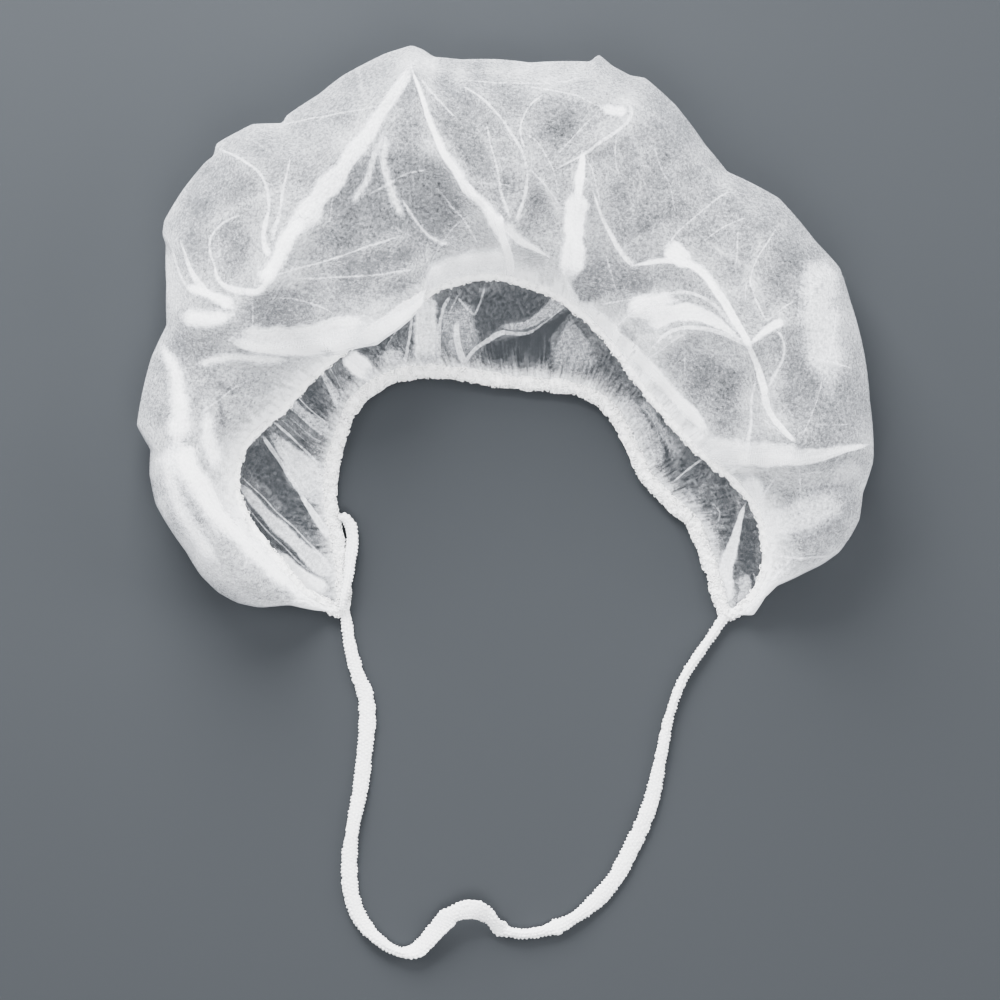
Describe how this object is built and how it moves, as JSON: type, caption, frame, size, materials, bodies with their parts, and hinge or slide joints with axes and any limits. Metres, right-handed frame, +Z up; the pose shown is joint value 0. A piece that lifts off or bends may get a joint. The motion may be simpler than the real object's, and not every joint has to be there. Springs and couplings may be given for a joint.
{
  "type": "beard net",
  "caption": "White nonwoven beard net: a crescent puffed pouch with a gathered elastic mouth and a knitted strap that loops behind the neck.",
  "frame": {"origin": "on the surface that the net lies on, under the middle of the box round the pouch and its elastic, the strap left out", "axes": "+X to the wearer's strap end on the right as seen from above, +Y from the mouth towards the pouch's outer edge, +Z up from the surface"},
  "size_m": [0.2208, 0.274, 0.0509],
  "materials": {
    "nonwoven": "thin, half see-through white spunbond cloth with fine fibres",
    "knit_elastic": "matt white knitted elastic"
  },
  "bodies": {
    "root": {"net_back": "nonwoven", "net_front": "nonwoven", "mouth_elastic": "knit_elastic", "neck_strap": "knit_elastic", "strap_tail": "knit_elastic"}
  },
  "joints": []
}
